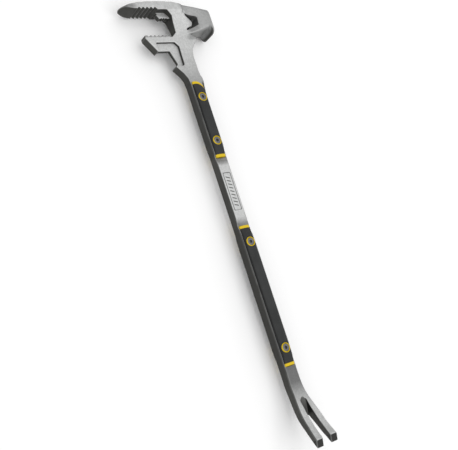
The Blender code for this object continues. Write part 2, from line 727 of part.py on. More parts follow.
def turned(name, x, profile, side):
    """Solid of revolution about a screw's axis from (radius, height) pairs."""
    rings = []
    for radius, height in profile:
        ring = arc((x, 0), radius, 0, 360 - 360 / ROUND_SEGMENTS, ROUND_SEGMENTS - 1)
        rings.append([(px, py, side * height) for px, py in ring])
    return loft(name, rings)


def colour_ring(name, x, side):
    soft = 0.6 * MM
    ring = turned(name, x, [
        (RING_RADIUS, RING_FLOOR), (RING_RADIUS, RING_TOP - soft), (RING_RADIUS - soft, RING_TOP),
    ], side)
    inner = RING_RADIUS - RING_WALL
    low, high = sorted((side * (RING_FLOOR - MARGIN), side * (RING_TOP + MARGIN)))
    return cut(ring, disc("inner", x, inner, low, high, ROUND_SEGMENTS))


def socket(x, side):
    low, high = sorted((side * (RING_TOP - CLEARANCE - SOCKET_DEPTH), side * (RING_TOP + MARGIN)))
    return disc("socket", x, SOCKET_RADIUS, low, high, 6)


def screw(name, x):
    """Socket screw from the front; its shank ends inside the sleeve nut."""
    top = RING_TOP - CLEARANCE
    soft = 0.7 * MM
    body = turned(name, x, [
        (SCREW_SHANK_RADIUS, -0.5 * RING_FLOOR), (SCREW_SHANK_RADIUS, RING_FLOOR),
        (HEAD_RADIUS, RING_FLOOR), (HEAD_RADIUS, top - soft), (HEAD_RADIUS - soft, top),
    ], 1)
    return cut(body, socket(x, 1))


def sleeve_nut(name, x):
    """Sleeve nut from the back with a blind bore for the screw."""
    top = RING_TOP - CLEARANCE
    soft = 0.7 * MM
    body = turned(name, x, [
        (SLEEVE_RADIUS, -0.6 * RING_FLOOR), (SLEEVE_RADIUS, RING_FLOOR),
        (HEAD_RADIUS, RING_FLOOR), (HEAD_RADIUS, top - soft), (HEAD_RADIUS - soft, top),
    ], -1)
    bore_end = -0.5 * RING_FLOOR - 1 * MM
    cut(body, disc("bore", x, SCREW_SHANK_RADIUS + CLEARANCE, bore_end, RING_FLOOR, ROUND_SEGMENTS))
    return cut(body, socket(x, -1))


# ---------------------------------------------------------------- assembly

def shade(item, degrees=35):
    item.data.set_sharp_from_angle(angle=math.radians(degrees))
    for face in item.data.polygons:
        face.use_smooth = True


def place(item, look):
    """Give a finished piece its material and move it into the shared frame."""
    item.data.transform(Matrix.Translation(FRAME_SHIFT))
    item.data.materials.clear()
    item.data.materials.append(look(item.name + "_mat"))
    shade(item)


def build():
    clear_scene()
    place(forged_bar(), forged_steel)
    stations = screw_places()
    for side, face in ((1, "front"), (-1, "back")):
        place(rubber_grip("head_grip_" + face, True, side, stations[:2]), grip_rubber)
        place(rubber_grip("claw_grip_" + face, False, side, stations[2:]), grip_rubber)
        for number, (head_side, at_start) in enumerate(
                ((True, True), (True, False), (False, True), (False, False)), 1):
            place(end_band(f"band_{number}_{face}", head_side, side, at_start), yellow_plastic)
        for number, x in enumerate(stations, 1):
            place(colour_ring(f"ring_{number}_{face}", x, side), yellow_plastic)
    for number, x in enumerate(stations, 1):
        place(screw(f"screw_{number}", x), screw_steel)
        place(sleeve_nut(f"sleeve_nut_{number}", x), screw_steel)


build()
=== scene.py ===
"""Forcible entry bar: soft forging, rubber grips, yellow trim, dark screws and a plain studio."""

import math

import bpy
from mathutils import Matrix, Vector


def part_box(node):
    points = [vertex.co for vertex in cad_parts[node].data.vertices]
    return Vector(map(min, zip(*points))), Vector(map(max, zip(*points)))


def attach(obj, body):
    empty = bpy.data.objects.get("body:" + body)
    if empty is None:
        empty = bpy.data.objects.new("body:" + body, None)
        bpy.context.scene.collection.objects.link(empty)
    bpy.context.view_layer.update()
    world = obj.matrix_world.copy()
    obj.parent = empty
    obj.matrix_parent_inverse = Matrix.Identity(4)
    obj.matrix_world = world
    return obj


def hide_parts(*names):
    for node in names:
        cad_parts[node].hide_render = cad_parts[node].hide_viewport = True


bl_info = {
    "name": "Forcible Entry Bar",
    "version": (1, 0, 0),
    "blender": (4, 5, 0),
    "location": "3D View > Sidebar > Entry Bar",
    "description": "Finishes a forged entry bar: soft edges, grips, trim, screws and a studio",
    "category": "Object",
}

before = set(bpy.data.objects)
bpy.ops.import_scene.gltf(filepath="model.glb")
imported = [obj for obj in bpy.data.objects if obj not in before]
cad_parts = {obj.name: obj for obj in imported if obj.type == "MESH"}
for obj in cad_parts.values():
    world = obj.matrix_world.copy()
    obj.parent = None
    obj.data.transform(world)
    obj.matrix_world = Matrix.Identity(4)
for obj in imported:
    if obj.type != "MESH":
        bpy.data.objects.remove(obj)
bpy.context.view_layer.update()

MM = 0.001
BODY = "root"
FACES = ("front", "back")
NUMBERS = (1, 2, 3, 4)

# Landmarks on the forging, in metres.
PAD_MIDDLE = (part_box("band_2_front")[1].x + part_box("band_3_front")[0].x) / 2
MIDDLE_Z = (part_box("band_2_front")[1].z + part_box("band_2_back")[0].z) / 2
HANDLE_AXIS = Vector((0, sum(c.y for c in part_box("screw_2")) / 2, MIDDLE_Z))
PAD_HALF = 8.6 * MM
POLL_ROOT_Y = HANDLE_AXIS.y + 15 * MM
POLL_TOP_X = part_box("forged_bar")[0].x + 5.4 * MM
POLL_RIM = 5 * MM
BEAK_LENGTH = 27 * MM
NOSE_DEPTH = 38 * MM
TEETH_DEPTH = 58 * MM
TIP_FACE = 12.3 * MM
SLOT_HALF = 5.6 * MM
SCOOP = 15 * MM

# The border and ribs pressed into the bare pad.
PRESS_HEIGHT = 4 * MM
BORDER_LENGTH = 66 * MM
BORDER_WIDTH_SHARE = 1.66
BORDER_CORNER = 2.6 * MM
BORDER_LINE = 1.4 * MM
CORNER_SEGMENTS = 6
RIB_COUNT = 9
RIB_STEP = 6 * MM
RIB_WIDTH = 1.7 * MM
RIB_LENGTH_SHARE = 0.9
RIB_SLANT = 0.35

# How the smaller pieces are softened.
WELD = 0.00002
FLAT_DEGREES = 2
SHARP_DEGREES = 40
EDGE_SEGMENTS = 2
SCREW_EDGE = 0.2 * MM


# ---------------------------------------------------------------- settings

class BarForgingSettings(bpy.types.PropertyGroup):
    """Sizes and colour of the bare forging."""
    voxel: bpy.props.FloatProperty(
        name="Detail", description="Size of the smallest detail kept in the forging",
        default=0.7 * MM, unit="LENGTH")
    softening: bpy.props.IntProperty(
        name="Edge Softening",
        description="How many smoothing passes round the forging's edges", default=2)
    kept_faces: bpy.props.IntProperty(
        name="Faces Kept",
        description="Triangles left after the surface is thinned", default=170000)
    steel: bpy.props.FloatVectorProperty(
        name="Steel", description="Colour of the blasted steel", subtype="COLOR",
        default=(0.6, 0.605, 0.6))
    # Colour of the painted shade laid on the forging's sides, tip faces, slot, grip lips, gaps
    # between teeth, corners and the poll's top line.
    sides: bpy.props.FloatVectorProperty(
        name="Trimmed Sides", description="Colour of the darker scale left on the forging's sides",
        subtype="COLOR", default=(0.05, 0.05, 0.046))
    groove_depth: bpy.props.FloatProperty(
        name="Pad Groove Depth",
        description="Depth of the border and ribs pressed into the bare pad",
        default=0.8 * MM, unit="LENGTH")


class BarGripSettings(bpy.types.PropertyGroup):
    """Sizes and colours of the grips and their trim."""
    grip_edge: bpy.props.FloatProperty(
        name="Grip Edge", description="Radius on the grips' edges",
        default=0.5 * MM, unit="LENGTH")
    trim_edge: bpy.props.FloatProperty(
        name="Trim Edge", description="Radius on the bands' and rings' edges",
        default=0.3 * MM, unit="LENGTH")
    rubber: bpy.props.FloatVectorProperty(
        name="Rubber", description="Colour of the moulded grips", subtype="COLOR",
        default=(0.016, 0.017, 0.017))
    yellow: bpy.props.FloatVectorProperty(
        name="Yellow", description="Colour of the end bands and screw rings", subtype="COLOR",
        default=(0.66, 0.45, 0.0))
    screw: bpy.props.FloatVectorProperty(
        name="Screw Steel", description="Colour of the dark plated screws", subtype="COLOR",
        default=(0.13, 0.13, 0.135))


class BarStudioSettings(bpy.types.PropertyGroup):
    """Floor and camera."""
    floor: bpy.props.FloatVectorProperty(
        name="Floor", description="Colour of the plain floor", subtype="COLOR",
        default=(0.98, 0.98, 0.98))
    lens: bpy.props.FloatProperty(
        name="Lens", description="Focal length of the camera, in millimetres", default=59.38)


# ---------------------------------------------------------------- small tools

def deselect_all():
    if bpy.context.object and bpy.context.object.mode != "OBJECT":
        bpy.ops.object.mode_set(mode="OBJECT")
    bpy.ops.object.select_all(action="DESELECT")


def pick(item):
    """Make one object the only selected and the active one."""
    deselect_all()
    item.select_set(True)
    bpy.context.view_layer.objects.active = item


def merged_copy(node, name):
    """A free copy of a node's mesh with its loose triangles joined."""
    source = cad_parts[node]
    mesh = source.data.copy()
    mesh.name = name
    item = bpy.data.objects.new(name, mesh)
    bpy.context.scene.collection.objects.link(item)
    pick(item)
    bpy.ops.object.mode_set(mode="EDIT")
    bpy.ops.mesh.select_all(action="SELECT")
    bpy.ops.mesh.remove_doubles(threshold=WELD)
    bpy.ops.mesh.normals_make_consistent(inside=False)
    bpy.ops.mesh.customdata_custom_splitnormals_clear()
    bpy.ops.object.mode_set(mode="OBJECT")
    return item


def flatten_faces(item, degrees):
    """Join the triangles that lie in one plane into whole faces."""
    pick(item)
    bpy.ops.object.mode_set(mode="EDIT")
    bpy.ops.mesh.select_all(action="SELECT")
    bpy.ops.mesh.dissolve_limited(angle_limit=math.radians(degrees))
    bpy.ops.object.mode_set(mode="OBJECT")


def apply_modifier(item, kind, **values):
    pick(item)
    step = item.modifiers.new(kind.title(), kind)
    for key, value in values.items():
        setattr(step, key, value)
    bpy.ops.object.modifier_apply(modifier=step.name)


def dress(item, look, slot, *nodes):
    """Give a piece its material, its body and the nodes that it stands for."""
    item.data.materials.clear()
    item.data.materials.append(look)
    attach(item, BODY)
    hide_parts(*nodes)


def smooth_all(item, degrees):
    pick(item)
    bpy.ops.object.shade_smooth_by_angle(angle=math.radians(degrees))


# ---------------------------------------------------------------- material nodes

class Look:
    """Shorthand for building one node material."""

    def __init__(self, name):
        self.made = bpy.data.materials.new(name)
        self.made.use_nodes = True
        self.tree = self.made.node_tree
        self.shader = self.tree.nodes["Principled BSDF"]
        source = self.node("ShaderNodeTexCoord")
        self.place = source.outputs["Object"]
        self.way = source.outputs["Normal"]

    def node(self, kind, **values):
        made = self.tree.nodes.new(kind)
        for key, value in values.items():
            setattr(made, key, value)
        return made

    def link(self, start, end):
        self.tree.links.new(start, end)

    def stretched(self, scale):
        """Object coordinates scaled by axis for one pattern."""
        step = self.node("ShaderNodeMapping")
        step.inputs["Scale"].default_value = scale
        self.link(self.place, step.inputs["Vector"])
        return step.outputs["Vector"]

    def noise(self, scale, detail, rough, where=None):
        step = self.node("ShaderNodeTexNoise")
        step.inputs["Scale"].default_value = scale
        step.inputs["Detail"].default_value = detail
        step.inputs["Roughness"].default_value = rough
        self.link(where or self.place, step.inputs["Vector"])
        return step.outputs["Fac"]

    def curve(self, value, low, high, out_low, out_high):
        step = self.node("ShaderNodeMapRange")
        step.inputs["From Min"].default_value = low
        step.inputs["From Max"].default_value = high
        step.inputs["To Min"].default_value = out_low
        step.inputs["To Max"].default_value = out_high
        self.link(value, step.inputs["Value"])
        return step.outputs["Result"]

    def ramp(self, value, low, high, stops):
        """Grey read off a short list of (place, grey) stops between two places."""
        step = self.node("ShaderNodeValToRGB")
        self.link(self.curve(value, low, high, 0, 1), step.inputs["Fac"])
        points = step.color_ramp.elements
        while len(points) < len(stops):
            points.new(1)
        for point, (where, grey) in zip(points, stops):
            point.position = (where - low) / (high - low)
            point.color = (grey, grey, grey, 1)
        return step.outputs["Color"]

    def axes(self, vector):
        step = self.node("ShaderNodeSeparateXYZ")
        self.link(vector, step.inputs["Vector"])
        return step.outputs["X"], step.outputs["Y"], step.outputs["Z"]

    def size_of(self, value):
        """A value without its sign."""
        return self.maths("ABSOLUTE", value, 0)

    def away(self, value, centre):
        """Distance of a value from a centre."""
        return self.size_of(self.maths("SUBTRACT", value, centre))

    def both(self, first, second):
        """Where two masks overlap."""
        return self.maths("MULTIPLY", first, second)

    def maths(self, kind, first, second):
        step = self.node("ShaderNodeMath", operation=kind)
        for socket, value in zip(step.inputs, (first, second)):
            if isinstance(value, (int, float)):
                socket.default_value = value
            else:
                self.link(value, socket)
        return step.outputs["Value"]

    def mix(self, share, first, second, kind="MIX"):
        step = self.node("ShaderNodeMix", data_type="RGBA", blend_type=kind)
        self.fill(step.inputs[0], share)
        self.fill(step.inputs[6], first)
        self.fill(step.inputs[7], second)
        return step.outputs[2]

    def cover(self, base, mask, share, colour):
        """Lay a colour over a base inside a mask, at most by a share."""
        return self.mix(self.maths("MULTIPLY", mask, share), base, colour)

    def fill(self, socket, value):
        if isinstance(value, (int, float)):
            socket.default_value = value
        elif isinstance(value, tuple):
            socket.default_value = (*value[:3], 1)
        else:
            self.link(value, socket)

    def bump(self, height, strength, distance, before=None):
        step = self.node("ShaderNodeBump")
        step.inputs["Strength"].default_value = strength
        step.inputs["Distance"].default_value = distance
        self.link(height, step.inputs["Height"])
        if before is not None:
            self.link(before, step.inputs["Normal"])
        return step.outputs["Normal"]

    def edge_wear(self):
        """Near 0 on flats and in corners, near 1 on outer edges."""
        point = self.node("ShaderNodeNewGeometry").outputs["Pointiness"]
        return self.curve(point, 0.505, 0.56, 0, 1)

    def corner_shade(self):
        """Painted shade: near 1 in corners, near 0 elsewhere."""
        point = self.node("ShaderNodeNewGeometry").outputs["Pointiness"]
        return self.curve(point, 0.495, 0.44, 0, 1)

    def finish(self, colour, rough, normal=None):
        self.fill(self.shader.inputs["Base Color"], colour)
        self.fill(self.shader.inputs["Roughness"], rough)
        if normal is not None:
            self.link(normal, self.shader.inputs["Normal"])
        return self.made


def shade_of(colour, share):
    return tuple(min(1, part * share) for part in colour)


# Painted shade down the bar: pairs of (distance from a landmark, share of full brightness).
CROWN_TONE = 0.94
NECK_TONES = ((-70 * MM, 0.96), (-30 * MM, 0.78), (0, 0.62))
PAD_START_TONES = ((-5 * MM, 0.5), (0.4 * SCOOP, 0.4), (SCOOP, 0.9))
PAD_TONE = 1
PAD_END_TONES = ((-SCOOP, 0.9), (-0.3 * SCOOP, 0.38))
BEND_TONES = ((-10 * MM, 0.4), (0, 0.24), (8 * MM, 0.27), (26 * MM, 0.28), (52 * MM, 0.72),
              (85 * MM, 1))
TIP_TONE = 1

# Where masks begin and end, as distances from the landmark that each function names.
POLL_BEGINS = (6 * MM, 14 * MM)
POLL_ENDS = (28 * MM, 31 * MM)
NOSE_SLOPE = 0.44
BEAK_ENDS = (-8 * MM, 3 * MM)
BEAK_CROWN = (3.5 * MM, 7 * MM)
BEAK_CROWN_SHARE = 0.2
GROOVE_BELOW_FACE = (0.08 * MM, 0.3 * MM)
PAD_MASK_ALONG = (36 * MM, 37 * MM)
PAD_MASK_ACROSS = (9.4 * MM, 9.8 * MM)
LIP_BEGINS = (10.1 * MM, 10.4 * MM)
LIP_FADE = 6 * MM
LIP_SHARE = 0.95
TEETH_HALF = (2.4 * MM, 4.4 * MM)
TEETH_SHARE = 0.55
TEETH_END = (20 * MM, 16 * MM)
POLL_TOP_LINE = (1 * MM, 2.4 * MM)
POLL_TOP_SLOPE = 0.2
SLOT_ROOT = (64.6 * MM, 63.8 * MM)
SLOT_SOFT_EDGE = 0.4 * MM
FACING_UP = (0.4, 0.93)
FACING_ACROSS = (0.3, 0.62)
RIM_FADE = 2 * MM
TIP_FADE = 1 * MM
POLL_ROOT_FADE = 1 * MM

# The most that each layer covers what lies under it.
POLL_COVER = 0.9
POLL_SIDE_COVER = 0.8
POLL_LINE_COVER = 0.8
BEAK_COVER = 0.85
GROOVE_COVER = 0.95
SLOT_COVER = 0.9
TIP_COVER = 0.97
WEAR_COVER = 0.35
CORNER_SHADE_COVER = 0.8


def placed(landmark, tones):
    """Tones given by their distance from a landmark, as places down the bar."""
    return [(landmark + distance, tone) for distance, tone in tones]


def shade_down_bar(look, x):
    """Share of full brightness down the bar: painted shade in the scoops at the pad's ends, down
    the neck and round the claw's bend.
    """
    crown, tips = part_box("forged_bar")[0].x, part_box("forged_bar")[1].x
    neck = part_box("head_grip_front")[0].x
    pad_start, pad_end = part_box("band_2_front")[1].x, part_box("band_3_front")[0].x
    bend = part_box("band_4_front")[1].x
    stops = [
        (crown, CROWN_TONE),
        *placed(neck, NECK_TONES),
        *placed(pad_start, PAD_START_TONES),
        (PAD_MIDDLE, PAD_TONE),
        *placed(pad_end, PAD_END_TONES),
        *placed(bend, BEND_TONES),
        (tips, TIP_TONE),
    ]
    return look.ramp(x, crown, tips, stops)


def poll_share(look, x, y):
    """1 over the hammer poll and 0 on the head plate, whose nose reaches out into it."""
    nose_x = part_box("forged_bar")[0].x + NOSE_DEPTH
    reach = look.maths("ADD", y, look.maths("MULTIPLY", look.away(x, nose_x), NOSE_SLOPE))
    across = look.curve(reach, POLL_ROOT_Y + POLL_BEGINS[0], POLL_ROOT_Y + POLL_BEGINS[1], 0, 1)
    along = look.curve(x, nose_x + POLL_ENDS[0], nose_x + POLL_ENDS[1], 1, 0)
    return look.both(across, along)


def beak_share(look, x, y):
    """1 on the rounded beak at the end of the upper jaw, where painted shade goes, 0 on its bright
    crown.
    """
    beak_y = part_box("forged_bar")[0].y + BEAK_LENGTH
    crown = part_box("forged_bar")[0].x
    along = look.curve(y, beak_y + BEAK_ENDS[0], beak_y + BEAK_ENDS[1], 1, 0)
    below = look.curve(x, crown + BEAK_CROWN[0], crown + BEAK_CROWN[1], BEAK_CROWN_SHARE, 1)
    return look.both(along, below)


def pad_groove(look, x, y, z):
    """1 in the border and ribs pressed into the bare pad, where painted shade goes."""
    begins, full = GROOVE_BELOW_FACE
    deep = look.curve(look.away(z, HANDLE_AXIS.z), PAD_HALF - begins, PAD_HALF - full, 0, 1)
    inside = look.curve(look.away(x, PAD_MIDDLE), *PAD_MASK_ALONG, 1, 0)
    across = look.curve(look.away(y, HANDLE_AXIS.y), *PAD_MASK_ACROSS, 1, 0)
    return look.both(deep, look.both(inside, across))


def beside_grip(look, x, grip):
    """1 along a grip, fading out past its ends."""
    low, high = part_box(grip)
    half = (high.x - low.x) / 2
    return look.curve(look.away(x, (low.x + high.x) / 2), half, half + LIP_FADE, 1, 0)


def grip_lip(look, x, off):
    """1 on the outer edge of the flanges that stand beside the grips, where painted shade goes."""
    outer = look.curve(off, *LIP_BEGINS, 0, LIP_SHARE)
    first = beside_grip(look, x, "head_grip_front")
    second = beside_grip(look, x, "claw_grip_front")
    return look.both(outer, look.maths("MAXIMUM", first, second))


def teeth_shade(look, x, y):
    """Share of painted shade between the lower jaw's teeth."""
    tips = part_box("forged_bar")[0].x + TEETH_DEPTH
    band = look.curve(look.away(x, tips), *TEETH_HALF, TEETH_SHARE, 0)
    end = look.curve(y, HANDLE_AXIS.y - TEETH_END[0], HANDLE_AXIS.y - TEETH_END[1], 1, 0)
    return look.both(band, end)


def poll_top_line(look, x, y):
    """Painted shadow line along the poll's upper edge, which leans away from the crown."""
    lean = look.maths("MULTIPLY", look.maths("SUBTRACT", y, POLL_ROOT_Y), POLL_TOP_SLOPE)
    begins, ends = (POLL_TOP_X + part for part in POLL_TOP_LINE)
    line = look.curve(look.maths("SUBTRACT", x, lean), begins, ends, POLL_LINE_COVER, 0)
    return look.both(line, look.curve(y, POLL_ROOT_Y - POLL_ROOT_FADE, POLL_ROOT_Y, 0, 1))


def slot_shade(look, x, off, tip):
    """Share of painted shade in the slot between the tines, round at its root."""
    curl = look.maths("MULTIPLY", look.maths("MULTIPLY", off, off), 1 / SLOT_HALF)
    begins, full = (tip - part for part in SLOT_ROOT)
    root = look.curve(look.maths("SUBTRACT", x, curl), begins, full, 0, SLOT_COVER)
    return look.both(root, look.curve(off, SLOT_HALF - SLOT_SOFT_EDGE, SLOT_HALF, 1, 0))


def face_share(look):
    """1 on faces that look up or down, 0 on the forging's sides, which take painted shade."""
    across, facing = look.axes(look.way)[1:]
    upward = look.curve(look.size_of(facing), *FACING_UP, 0, 1)
    return look.both(upward, look.curve(look.size_of(across), *FACING_ACROSS, 1, 0))


def face_steel(look, colour, blotch, grainy):
    """The blasted face's own colour: soft blotches, long streaks and dark grain."""
    streak = look.noise(240, 4, 0.6, look.stretched((0.12, 1, 1)))
    base = look.mix(look.curve(blotch, 0.35, 0.68, 0, 1),
                    shade_of(colour, 0.93), shade_of(colour, 1.05))
    base = look.mix(look.curve(streak, 0.4, 0.75, 0, 0.3), base, shade_of(colour, 0.8))
    return look.mix(grainy, base, shade_of(colour, 0.5))


def side_shade(look, colour, sides, blotch, poll, y):
    """Painted shade on the sides, lifted by painted light round the poll up to its rim."""
    # Painted shade tone for the sides, mottled by the blotches.
    scale = look.mix(look.curve(blotch, 0.3, 0.7, 0, 1), shade_of(sides, 0.8), shade_of(sides, 1.3))
    rim_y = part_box("forged_bar")[1].y - POLL_RIM
    # Painted light lifts the sides round the poll, fading out at its rim.
    poll_side_light = look.both(poll, look.curve(y, rim_y - RIM_FADE, rim_y, POLL_SIDE_COVER, 0))
    return look.mix(poll_side_light, scale, shade_of(colour, 0.5))


def blasted_steel(colour, sides):
    """Shot blasted forging: bright fine-grained faces, painted shade down its sides and in its
    corners, slot, scoops and tip faces, worn edges.
    """
    look = Look("blasted_steel")
    look.shader.inputs["Metallic"].default_value = 0.8
    look.shader.inputs["Specular IOR Level"].default_value = 0.5
    x, y, z = look.axes(look.place)
    off = look.away(y, HANDLE_AXIS.y)
    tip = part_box("forged_bar")[1].x - TIP_FACE
    blotch = look.noise(28, 5, 0.6)
    grain = look.noise(330, 5, 0.8)
    grainy = look.curve(grain, 0.4, 0.6, 0.45, 0)
    poll = poll_share(look, x, y)
    # Painted shade for the poll's face, which turns away from the light, with the grain through it.
    poll_shade = look.mix(grainy, shade_of(colour, 0.52), shade_of(colour, 0.3))

    base = face_steel(look, colour, blotch, grainy)
    # Painted shade down the bar, darker in the scoops, the neck and the claw's bend.
    base = look.mix(1.0, base, shade_down_bar(look, x), "MULTIPLY")
    # Painted shade over the poll.
    base = look.cover(base, poll, POLL_COVER, poll_shade)
    # Painted shade on the rounded beak, whose curved faces turn from the light.
    base = look.cover(base, beak_share(look, x, y), BEAK_COVER, shade_of(colour, 0.3))
    # Painted shade in the pressed border and ribs.
    base = look.cover(base, pad_groove(look, x, y, z), GROOVE_COVER, shade_of(colour, 0.12))
    # Painted shade on the sides, chosen by which way each face looks.
    base = look.mix(face_share(look), side_shade(look, colour, sides, blotch, poll, y), base)
    base = look.mix(poll_top_line(look, x, y), base, shade_of(sides, 1.2))
    # Painted dark reflection on the tines' end faces.
    tip_face = look.curve(x, tip, tip + TIP_FADE, 0, TIP_COVER)
    base = look.mix(tip_face, base, shade_of(sides, 0.5))
    base = look.mix(slot_shade(look, x, off, tip), base, shade_of(sides, 1.4))
    # Painted shade on the flange lips, in the gap beside the rubber's edge.
    base = look.mix(grip_lip(look, x, off), base, shade_of(sides, 0.8))
    base = look.mix(teeth_shade(look, x, y), base, shade_of(sides, 1.5))
    base = look.cover(base, look.edge_wear(), WEAR_COVER, shade_of(colour, 1.1))
    # Painted shade in the forging's corners.
    base = look.cover(base, look.corner_shade(), CORNER_SHADE_COVER, shade_of(sides, 0.8))

    rough = look.maths("ADD", look.curve(blotch, 0.3, 0.7, 0.38, 0.5),
                       look.curve(grain, 0.3, 0.7, -0.05, 0.06))
    pits = look.bump(look.noise(900, 3, 0.6), 0.2, 0.12 * MM)
    return look.finish(base, rough, look.bump(look.noise(70, 3, 0.5), 0.25, 0.25 * MM, pits))


def moulded_rubber(colour):
    """Matte grip rubber with a fine pebbled skin, slightly polished where hands rub it, with
    painted shade on its steep sides.
    """
    look = Look("moulded_rubber")
    look.shader.inputs["Specular IOR Level"].default_value = 0.3
    pebble = look.node("ShaderNodeTexVoronoi", feature="SMOOTH_F1")
    pebble.inputs["Scale"].default_value = 900
    look.link(look.place, pebble.inputs["Vector"])
    rub = look.noise(34, 4, 0.6)
    dust = look.noise(420, 4, 0.65)
    base = look.mix(look.curve(rub, 0.35, 0.7, 0, 1),
                    shade_of(colour, 0.85), shade_of(colour, 1.25))
    base = look.mix(look.curve(dust, 0.55, 0.8, 0, 0.18), base, (0.2, 0.2, 0.19))
    # Painted shade on the grips' sides that face across the bar.
    across = look.size_of(look.axes(look.way)[1])
    base = look.mix(look.curve(across, 0.6, 0.9, 0, 1), base, shade_of(colour, 0.25))
    base = look.cover(base, look.edge_wear(), 0.35, shade_of(colour, 2.4))
    rough = look.maths("ADD", look.curve(rub, 0.3, 0.7, 0.62, 0.5),
                       look.curve(dust, 0.3, 0.7, -0.04, 0.05))
    skin = look.bump(pebble.outputs["Distance"], 0.35, 0.15 * MM)
    return look.finish(base, rough, look.bump(look.noise(160, 2, 0.5), 0.12, 0.2 * MM, skin))


def yellow_trim(colour):
    """Satin moulded plastic with faint swirl in the colour, scuffed edges and painted shade in its
    corners.
    """
    look = Look("yellow_trim")
    look.shader.inputs["Specular IOR Level"].default_value = 0.12
    swirl = look.noise(260, 4, 0.6)
    scuff = look.noise(1100, 3, 0.7)
    base = look.mix(look.curve(swirl, 0.3, 0.7, 0, 1),
                    shade_of(colour, 0.88), shade_of(colour, 1.08))
    base = look.mix(look.curve(scuff, 0.6, 0.85, 0, 0.3), base, shade_of(colour, 0.6))
    base = look.cover(base, look.edge_wear(), 0.3, (0.85, 0.66, 0.1))
    # Painted shade in the trim's corners.
    base = look.cover(base, look.corner_shade(), 0.6, shade_of(colour, 0.4))
    rough = look.curve(scuff, 0.3, 0.7, 0.42, 0.58)
    return look.finish(base, rough, look.bump(look.noise(700, 2, 0.5), 0.12, 0.08 * MM))


def plated_screw(colour):
    """Dark plated screw steel, turned marks, bright rubbed rim and painted shade in the socket and
    corners.
    """
    look = Look("plated_screw")
    look.shader.inputs["Metallic"].default_value = 0.85
    tone = look.noise(500, 4, 0.6)
    turned = look.noise(1800, 2, 0.5)
    base = look.mix(look.curve(tone, 0.3, 0.7, 0, 1),
                    shade_of(colour, 0.75), shade_of(colour, 1.25))
    base = look.cover(base, look.edge_wear(), 0.6, shade_of(colour, 2.2))
    # Painted shade in the socket and corners.
    base = look.cover(base, look.corner_shade(), 0.8, shade_of(colour, 0.2))
    rough = look.curve(turned, 0.3, 0.7, 0.32, 0.46)
    return look.finish(base, rough, look.bump(turned, 0.1, 0.06 * MM))


def studio_floor(colour):
    """Plain matte floor with a barely visible change of tone."""
    look = Look("studio_floor")
    tone = look.noise(1.4, 3, 0.5)
    base = look.mix(look.curve(tone, 0.3, 0.7, 0, 1),
                    shade_of(colour, 0.995), shade_of(colour, 1.005))
    rough = look.curve(tone, 0.3, 0.7, 0.86, 0.92)
    return look.finish(base, rough, look.bump(look.noise(30, 2, 0.5), 0.02, 0.2 * MM))


# ---------------------------------------------------------------- pieces

def rounded_frame(name, centre, length, width, corner, line, height):
    """A thin rounded rectangle wall, used to press a border into the pad."""
    deselect_all()
    bpy.ops.mesh.primitive_plane_add(size=1, location=centre)
    item = bpy.context.object
    item.name = name
    item.scale = (length, width, 1)
    bpy.ops.object.transform_apply(location=True, rotation=False, scale=True)
    bpy.ops.object.mode_set(mode="EDIT")
    bpy.ops.mesh.select_all(action="SELECT")
    bpy.ops.mesh.bevel(offset=corner, segments=CORNER_SEGMENTS, affect="VERTICES",
                       offset_type="OFFSET")
    bpy.ops.mesh.select_all(action="SELECT")
    bpy.ops.mesh.inset(thickness=line, depth=0)
    bpy.ops.mesh.delete(type="FACE")
    bpy.ops.mesh.select_all(action="SELECT")
    bpy.ops.mesh.extrude_region_move(TRANSFORM_OT_translate={"value": (0, 0, height)})
    bpy.ops.mesh.select_all(action="SELECT")
    bpy.ops.mesh.normals_make_consistent(inside=False)
    bpy.ops.object.mode_set(mode="OBJECT")
    return item


def slanted_rib(name, centre, length, width, height, slant):
    """One slanted bar of the pad's pressed rib pattern."""
    deselect_all()
    bpy.ops.mesh.primitive_cube_add(size=1, location=centre)
    item = bpy.context.object
    item.name = name
    item.scale = (width, length, height)
    bpy.ops.object.transform_apply(location=True, rotation=False, scale=True)
    for corner in item.data.vertices:
        corner.co.x += (corner.co.y - centre[1]) * slant
    return item


def press(item, tool):
    apply_modifier(item, "BOOLEAN", operation="DIFFERENCE", solver="EXACT", object=tool)
    bpy.data.objects.remove(tool, do_unlink=True)


